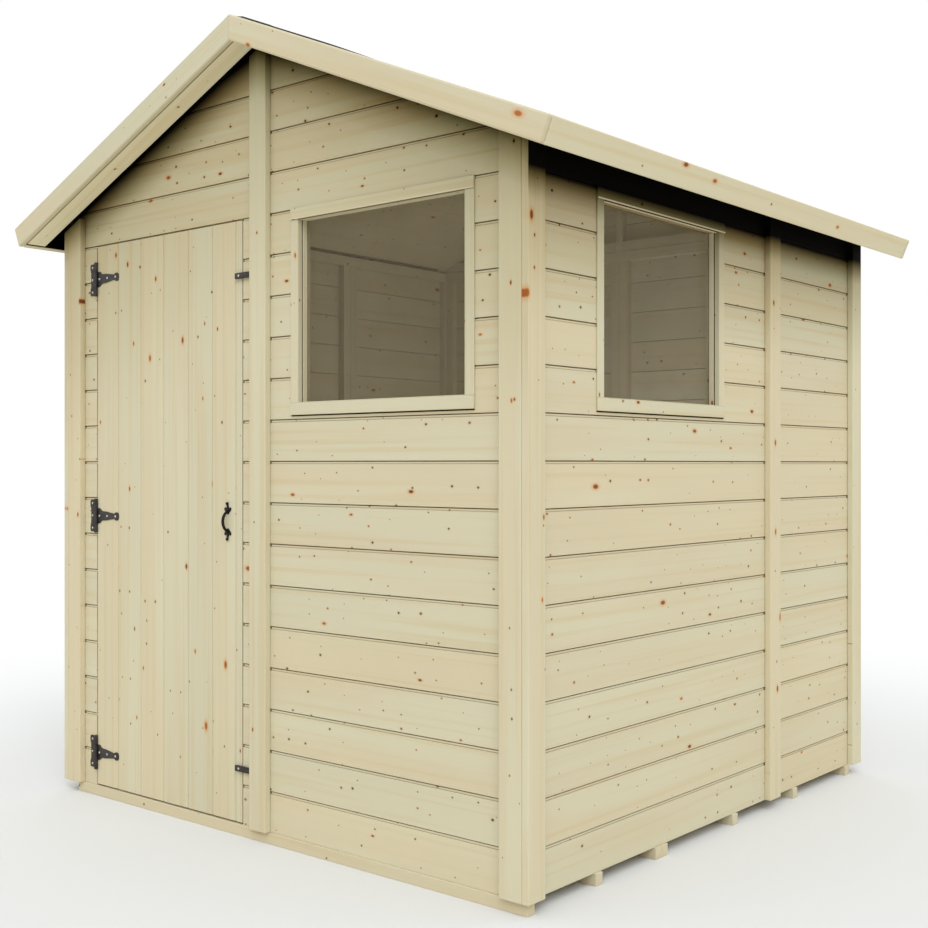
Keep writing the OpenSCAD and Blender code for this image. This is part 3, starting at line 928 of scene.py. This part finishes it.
def felt_sheet(node, place, buckle):
    """Felt laid in two lapped courses and a capping along the ridge."""
    sheet = bmesh.new()
    length = SLOPE_END - 2 * HAIR
    laps = [RIDGE_CAP, RIDGE_CAP + LAP_STEP, FELT_LAP, FELT_LAP + LAP_STEP]
    downs = sorted([length * i / FELT_ROWS for i in range(FELT_ROWS + 1)] + laps)
    acrosses = [-DECK_Y + 2 * DECK_Y * j / FELT_COLUMNS for j in range(FELT_COLUMNS + 1)]
    base = -2 * FELT_LAYER
    rings = []
    tones = []
    for x in downs:
        top = [sheet.verts.new((x, y, felt_lift(x, y, buckle) + base)) for y in acrosses]
        under = [sheet.verts.new((x, y, -FELT_T)) for y in reversed(acrosses)]
        rings.append(top + under)
        tones += [0.9 if x <= RIDGE_CAP else 0.5 * (x <= FELT_LAP)] * len(rings[-1])
    skin(sheet, rings)
    for ring in (rings[0], rings[-1]):
        for j in range(FELT_COLUMNS):
            sheet.faces.new((ring[j], ring[j + 1], ring[-2 - j], ring[-1 - j]))
    sheet.transform(place)
    bmesh.ops.recalc_face_normals(sheet, faces=sheet.faces[:])
    mesh = bpy.data.meshes.new(node + "_sheet")
    sheet.to_mesh(mesh)
    sheet.free()
    mesh.materials.append(FELT)
    mesh.attributes.new("tone", "FLOAT", "POINT").data.foreach_set("value", tones)
    soften(mesh, 30)
    show(node + "_sheet", mesh, "shed", "roofing_felt", [node])


felt_sheet("right_roof_felt", SLOPE, 1.0)
felt_sheet("left_roof_felt", LEFT_SLOPE, 0.0)

# ---------------- door

DOOR_JOINTS = (-0.6566, -0.5452, -0.4356, -0.3212, -0.2130, -0.1126)
# A door board's V joint, and its tongue in the next board's groove, as depths behind the face.
VEE_W = 0.0040
VEE_D = 0.0031
BOARD_GAP = 0.0001
TONGUE_W = 0.005
TONGUE_FRONT = 0.0042
TONGUE_BACK = 0.0078
GROOVE_W = 0.0055
GROOVE_FRONT = 0.0039
GROOVE_BACK = 0.0081
VEE_PAINTED_SHADE = 0.14
LEDGE_EDGE = 0.003


def door_board(x0, x1, z0, z1, first, last):
    """One tongued and V-jointed board of the door, standing on end."""
    if first:
        left = x0
        left_edge = [(left, CLAD_T)]
    else:
        left = x0 + BOARD_GAP
        groove = left + GROOVE_W
        left_edge = [
            (left, CLAD_T), (left, GROOVE_BACK), (groove, GROOVE_BACK), (groove, GROOVE_FRONT),
            (left, GROOVE_FRONT), (left, VEE_D)]
    if last:
        right_edge = [(x1, 0.0), (x1, CLAD_T)]
    else:
        right = x1 - BOARD_GAP
        tongue = right + TONGUE_W
        right_edge = [
            (right - VEE_W, 0.0), (right, VEE_D), (right, TONGUE_FRONT), (tongue, TONGUE_FRONT),
            (tongue, TONGUE_BACK), (right, TONGUE_BACK), (right, CLAD_T)]
    outline = [(left if first else left + VEE_W, 0.0)] + right_edge + left_edge
    return run_outline([(depth - CLAD_FACE, -x) for x, depth in outline], z0, z1)


def vee_painted_shade(co):
    """Painted shade: the joints between the door's boards are a little dark at the bottom of their grooves.
    """
    return VEE_PAINTED_SHADE if 0.0025 < co.y + CLAD_FACE < 0.006 else 0.0


# Boards that stand on end are run along x and then turned up.
UPRIGHT = Matrix(((0, 0, -1, 0), (0, 1, 0, 0), (1, 0, 0, 0), (0, 0, 0, 1)))

door_low, door_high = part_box("door_boards")
door = Timber("door_boards_timber")
edges = [door_low[0], *DOOR_JOINTS, door_high[0]]
last = len(edges) - 2
for i in range(last + 1):
    board = door_board(edges[i], edges[i + 1], door_low[2], door_high[2], i == 0, i == last)
    door.keep(board, "x", UPRIGHT, (), (0, -CLAD_FACE, -(edges[i] + edges[i + 1]) / 2), vee_painted_shade)
door.finish("pine_boards", ["door_boards"], "door", DOOR_BOARDS)

ledges = Timber("door_ledges_timber")
for low, high in split_solids("door_ledges"):
    ledges.plank(low, high, "x", LEDGE_EDGE)
ledges.finish("pine_framing", ["door_ledges"], "door")

# ---------------- ironwork

IRON_T = 0.0025
IRON_EDGE = 0.0006


class Casting:
    """Metal parts gathered into one piece, with black iron and bright screws."""

    def __init__(self, name, metal=IRON):
        self.name = name
        self.metal = metal
        self.solid = bmesh.new()

    def add(self, part, place=STAY, bright=False):
        mesh = bpy.data.meshes.new("casting")
        part.transform(place)
        bmesh.ops.recalc_face_normals(part, faces=part.faces[:])
        for face in part.faces:
            face.material_index = 1 if bright else 0
        part.to_mesh(mesh)
        part.free()
        self.solid.from_mesh(mesh)
        bpy.data.meshes.remove(mesh)

    def finish(self, nodes, body):
        mesh = bpy.data.meshes.new(self.name)
        self.solid.to_mesh(mesh)
        self.solid.free()
        mesh.materials.append(self.metal)
        mesh.materials.append(ZINC)
        soften(mesh, 35)
        show(self.name, mesh, body, "black_iron", nodes)


def plate(outline, thick, edge):
    """A flat part cut to an outline in x and z, from y 0 to its face at -thick, with an eased edge."""
    solid = bmesh.new()
    back = [solid.verts.new((x, 0, z)) for x, z in outline]
    solid.faces.new(back)
    lifted = bmesh.ops.extrude_face_region(solid, geom=solid.faces[:])
    risen = [part for part in lifted["geom"] if isinstance(part, bmesh.types.BMVert)]
    bmesh.ops.translate(solid, verts=risen, vec=(0, -thick, 0))
    front = [side for side in solid.edges if all(abs(vert.co.y + thick) < 1e-7 for vert in side.verts)]
    bmesh.ops.bevel(
        solid, geom=front, offset=edge, segments=2, profile=0.5, affect="EDGES", clamp_overlap=True)
    return solid


def lathe(profile, segments):
    """A turned part about -Y: the profile gives (radius, how far out)."""
    solid = bmesh.new()
    rings = []
    for radius, out in profile:
        angles = [2 * math.pi * i / segments for i in range(segments if radius else 1)]
        rings.append([solid.verts.new((radius * math.cos(a), -out, radius * math.sin(a))) for a in angles])
    skin(solid, rings)
    solid.faces.new(rings[0])
    return solid


def screw_head(radius):
    """A domed screw head with a cross cut in it. Its sizes are parts of its radius."""
    rounds = ((1.0, 0.0), (1.0, 0.16), (0.86, 0.42), (0.55, 0.60), (0.2, 0.66), (0.0, 0.67))
    dome = lathe([(radius * wide, radius * out) for wide, out in rounds], 20)
    for wide, high in ((0.62, 0.13), (0.13, 0.62)):
        carve(dome, (-radius * wide, -radius, -radius * high), (radius * wide, -radius * 0.3, radius * high))
    return dome


def barrel(radius, start, end):
    """A turned upright barrel between two heights."""
    length = end - start
    inner = radius - IRON_EDGE
    side = [(radius, IRON_EDGE), (radius, length - IRON_EDGE)]
    turned = lathe([(inner, 0.0), *side, (inner, length), (0.0, length)], 28)
    turned.transform(moved(0, 0, start) @ Matrix.Rotation(-math.pi / 2, 4, "X"))
    return turned


def arc(middle_x, middle_z, radius, start, end, steps):
    """Points along part of a circle, between two angles in degrees."""
    angles = [math.radians(start + (end - start) * i / steps) for i in range(steps + 1)]
    return [(middle_x + radius * math.cos(a), middle_z + radius * math.sin(a)) for a in angles]


# The tee hinges, at the heights of their middles and along the line of their pins.
HINGE_HEIGHTS = (0.133, 0.861, 1.588)
HINGE_X = -0.7645
PIN_OUT = 0.0055
PIN_R = 0.0025
PLATE_H = 0.104
STRAP_H = 0.047
END_H = (PLATE_H - STRAP_H) / 2 - 0.001
WEB_W = 0.016
WEB_EDGE = 0.0003
WEB_SHORT = 0.003
# The wall plate's left edge, its lobes, and the rounds at its corners.
PLATE_LEFT = -0.030
LOBE_OUT = 0.004
LOBE_FROM = 0.020
LOBE_RISE = 0.012
CORNER_R = 0.006
CORNER_X = -0.028
PLATE_RIGHT = -0.0075
SCREW_R = 0.0037
PLATE_SCREW_X = -0.022
PLATE_SCREWS = (-0.038, 0.0, 0.038)
STRAP_SCREWS = (0.014, 0.054, 0.0965)


def wall_plate_outline():
    """The left edge swells to a lobe at the top and at the bottom."""
    top = PLATE_H / 2 - 0.003
    reach = top - CORNER_R
    heights = [reach * (i / 12 - 1) for i in range(25)]
    swell = [(PLATE_LEFT - LOBE_OUT * eased((abs(z) - LOBE_FROM) / LOBE_RISE), z) for z in heights]
    lower = arc(CORNER_X, -reach, CORNER_R, 250, 190, 4)
    upper = arc(CORNER_X, reach, CORNER_R, 170, 110, 4)
    return lower + swell + upper + [(PLATE_RIGHT, top), (PLATE_RIGHT, -top)]


def strap_outline():
    """The strap narrows in a curve from its root to a neck, and ends in a round."""
    half = [
        (0.002, 0.0235), (0.012, 0.0232), (0.016, 0.0222), (0.0195, 0.0195), (0.0225, 0.0168),
        (0.027, 0.0148), (0.033, 0.0140), (0.042, 0.0138), (0.050, 0.0131), (0.064, 0.0112),
        (0.080, 0.0090), (0.088, 0.0083)]
    tip = arc(0.100, 0.0, 0.0125, 142, -142, 20)
    return half + tip + [(x, -z) for x, z in reversed(half)]


plates = Casting("hinge_plates_iron")
straps = Casting("hinge_straps_iron")
for height in HINGE_HEIGHTS:
    at = moved(HINGE_X, -CLAD_FACE, height)
    axle = at @ moved(0, -PIN_OUT, 0)
    face = at @ moved(0, -IRON_T, 0)
    plates.add(plate(wall_plate_outline(), IRON_T, IRON_EDGE), at)
    for end in (-1, 1):
        middle = end * (PLATE_H - END_H) / 2
        plates.add(barrel(PIN_OUT, middle - END_H / 2, middle + END_H / 2), axle)
        low = middle - END_H / 2 + (WEB_SHORT if end < 0 else 0)
        high = middle + END_H / 2 - (WEB_SHORT if end > 0 else 0)
        web = [(-WEB_W, low), (0.0, low), (0.0, high), (-WEB_W, high)]
        plates.add(plate(web, IRON_T, WEB_EDGE), at)
    plates.add(barrel(PIN_R, -PLATE_H / 2 + 0.001, PLATE_H / 2 - 0.001), axle)
    for z in PLATE_SCREWS:
        plates.add(screw_head(SCREW_R), face @ moved(PLATE_SCREW_X, 0, z), True)
    straps.add(plate(strap_outline(), IRON_T, IRON_EDGE), at)
    straps.add(barrel(PIN_OUT, -STRAP_H / 2, STRAP_H / 2), axle)
    for x in STRAP_SCREWS:
        straps.add(screw_head(SCREW_R), face @ moved(x, 0, 0), True)
plates.finish(["hinge_plates"], "shed")
straps.finish(["hinge_straps"], "door")


def tube(path, radii, segments):
    """A round bar along a path in y and z, with a radius at each point."""
    solid = bmesh.new()
    rings = []
    for i, (y, z) in enumerate(path):
        before = path[max(0, i - 1)]
        after = path[min(len(path) - 1, i + 1)]
        ahead = Vector((0, after[0] - before[0], after[1] - before[1])).normalized()
        side = Vector((1, 0, 0))
        up = side.cross(ahead)
        middle = Vector((0, y, z))
        angles = [2 * math.pi * k / segments for k in range(segments)]
        spots = [middle + (side * math.cos(a) + up * math.sin(a)) * radii[i] for a in angles]
        rings.append([solid.verts.new(spot) for spot in spots])
    skin(solid, rings)
    solid.faces.new(rings[0])
    solid.faces.new(rings[-1])
    return solid


HANDLE_X = -0.143
HANDLE_Z = 0.861
# Each end of the handle curls out from the door, from its screw to its tip.
CURL_START = 0.0385
CURL_OUT = 0.0028
LEAF_TIP = 0.0533
LEAF_T = 0.003
LEAF_EDGE = 0.0011
LEAF_SCREW = 0.0315
LEAF_SCREW_R = 0.0030
BALL_R = 0.0044
# The grip is a bow, thickest in the middle.
GRIP_RISE = 0.019
GRIP_LENGTH = 0.060
GRIP_R = 0.0031
GRIP_SWELL = 0.0012
GRIP_STEPS = 32


def leaf_outline():
    """A handle's end: a stem with a round point, between two full leaves."""
    right = [
        (0.0034, 0.020), (0.0051, 0.0235), (0.0088, 0.0265), (0.0125, 0.0300), (0.0140, 0.0345),
        (0.0129, 0.0383), (0.0105, 0.0390), (0.0083, 0.0372), (0.0059, 0.0372), (0.0038, 0.0398),
        (0.0030, 0.0440)]
    point = arc(0.0, 0.0495, 0.0038, -35, 215, 10)
    return right + point + [(-x, z) for x, z in reversed(right)]


def curled(solid):
    """Curls the stem of a handle's end out from the door."""
    for vert in solid.verts:
        along = (vert.co.z - CURL_START) / (LEAF_TIP - CURL_START)
        if along > 0:
            vert.co.y -= CURL_OUT * along
    return solid


def ball(radius, middle):
    """A round knob."""
    solid = bmesh.new()
    bmesh.ops.create_uvsphere(solid, u_segments=16, v_segments=10, radius=radius, matrix=moved(*middle))
    return solid


handle = Casting("door_handle_iron", HANDLE_IRON)
at = moved(HANDLE_X, -CLAD_FACE, HANDLE_Z)
for turned in (at, at @ Matrix.Scale(-1, 4, (0, 0, 1))):
    handle.add(curled(plate(leaf_outline(), LEAF_T, LEAF_EDGE)), turned)
    handle.add(ball(BALL_R, (0, -CURL_OUT - 0.0010, LEAF_TIP - 0.0040)), turned)
    handle.add(screw_head(LEAF_SCREW_R), turned @ moved(0, -LEAF_T, LEAF_SCREW))
bend = ((GRIP_LENGTH / 2) ** 2 + GRIP_RISE ** 2) / (2 * GRIP_RISE)
sweep = math.asin(GRIP_LENGTH / 2 / bend)
bow = []
thickness = []
for i in range(GRIP_STEPS + 1):
    turn = sweep * 0.97 * (2 * i / GRIP_STEPS - 1)
    bow.append((bend - GRIP_RISE - bend * math.cos(turn), bend * math.sin(turn)))
    thickness.append(GRIP_R + GRIP_SWELL * math.cos(math.pi / 2 * turn / sweep))
handle.add(tube(bow, thickness, 16), at)
handle.finish(["door_handle"], "door")

# The turn buttons: where their screws are, and how far they stand off the door.
BUTTON_X = -0.090
BUTTON_OFF = 0.005
BUTTON_T = 0.003
BUTTON_ROUND = 0.0022
SPACER_R = 0.0035


def button_outline(left, right, half):
    """A bar with rounded corners."""
    left += BUTTON_ROUND
    right -= BUTTON_ROUND
    half -= BUTTON_ROUND
    outline = []
    for x, z, start in ((left, -half, 270), (left, half, 180), (right, half, 90), (right, -half, 0)):
        outline += arc(x, z, BUTTON_ROUND, start, start - 90, 4)
    return outline


for node, body in (("top_turn_button", "top_button"), ("bottom_turn_button", "bottom_button")):
    low, high = [Vector(corner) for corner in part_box(node)]
    outline = button_outline(low.x - BUTTON_X, high.x - BUTTON_X, (high.z - low.z) / 2)
    spacer = lathe([(SPACER_R, 0.0), (SPACER_R, BUTTON_OFF), (0.0, BUTTON_OFF)], 20)
    at = moved(BUTTON_X, -CLAD_FACE, (low.z + high.z) / 2)
    button = Casting(node + "_iron")
    button.add(plate(outline, BUTTON_T, IRON_EDGE), at @ moved(0, -BUTTON_OFF, 0))
    button.add(spacer, at)
    button.add(screw_head(SCREW_R), at @ moved(0, -BUTTON_OFF - BUTTON_T, 0), True)
    button.finish([node], body)

# The panes keep their CAD shape.
for node in ("front_window_glass", "right_window_glass"):
    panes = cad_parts[node].data.materials
    panes.clear()
    panes.append(GLASS)

# ---------------- studio

FLOOR_SEEN = (223, 225, 226)
FLOOR_UNSEEN = (226, 222, 212)
FLOOR_FADE = (1.6, 3.9)
SKY_LOW = 0.45
SKY_HIGH = 1.16
WHITE = (1, 1, 1, 1)
RAYS_THAT_SEE_WHITE = ("Is Camera Ray", "Is Glossy Ray", "Is Transmission Ray")

bpy.ops.mesh.primitive_plane_add(size=60, location=(0, 0, 0))
ground = bpy.context.object
ground.name = "studio_floor"
studio = Finish("studio_floor_paint")
reach = studio.node("ShaderNodeVectorMath", {"operation": "LENGTH"}, {0: studio.place()}, "Value")
seen = studio.node("ShaderNodeLightPath", {}, {}, "Is Camera Ray")
tint = studio.blend(seen, paint(*FLOOR_UNSEEN), paint(*FLOOR_SEEN))
matt = studio.node("ShaderNodeBsdfDiffuse", {}, {"Color": tint})
glow = studio.node("ShaderNodeEmission", {}, {"Color": WHITE, "Strength": 1.0})
fade = studio.ramp(reach, *FLOOR_FADE) * seen
blended = studio.node("ShaderNodeMixShader", {}, {0: fade, 1: matt, 2: glow})
studio.node("ShaderNodeOutputMaterial", {}, {"Surface": blended})
ground.data.materials.append(studio.material)

# The sky is brighter overhead.
air = Finish("studio_sky", bpy.data.worlds)
bpy.context.scene.world = air.material
height = air.axis(air.node("ShaderNodeTexCoord", {}, {}, "Generated"), "Z")
strength = air.ramp(height, 0.05, 0.85, SKY_LOW, SKY_HIGH)
daylight = air.node("ShaderNodeBackground", {}, {"Color": WHITE, "Strength": strength})
white = air.node("ShaderNodeBackground", {}, {"Color": WHITE, "Strength": 1.0})
rays = [air.node("ShaderNodeLightPath", {}, {}, ray) for ray in RAYS_THAT_SEE_WHITE]
seen = air.maths("MAXIMUM", air.maths("MAXIMUM", rays[0], rays[1]), rays[2])
backdrop = air.node("ShaderNodeMixShader", {}, {0: seen, 1: daylight, 2: white})
air.node("ShaderNodeOutputWorld", {}, {"Surface": backdrop})

KEY_FROM = (0.66, -0.66, 0.80)
key = bpy.data.lights.new("key_lamp", "SUN")
key.energy = 1.24
key.angle = math.radians(40)
set_up("key_lamp", key).rotation_euler = Vector(KEY_FROM).to_track_quat("Z", "Y").to_euler()

# A lamp inside the shed lights the room and isn't seen itself.
inside = bpy.data.lights.new("inside_lamp", "POINT")
inside.energy = 9.0
inside.shadow_soft_size = 0.25
inside_lamp = set_up("inside_lamp", inside)
inside_lamp.location = (0.30, 0.32, 0.8)
inside_lamp.visible_camera = False
inside_lamp.visible_glossy = False
inside_lamp.visible_transmission = False

eye = bpy.data.cameras.new("camera")
eye.lens = 49.9
eye.sensor_width = 36
camera = set_up("camera", eye)
camera.location = (2.650, -3.206, 1.020)
camera.rotation_euler = (math.pi / 2, 0, math.radians(40))
bpy.context.scene.camera = camera
bpy.context.scene.view_settings.view_transform = "Standard"
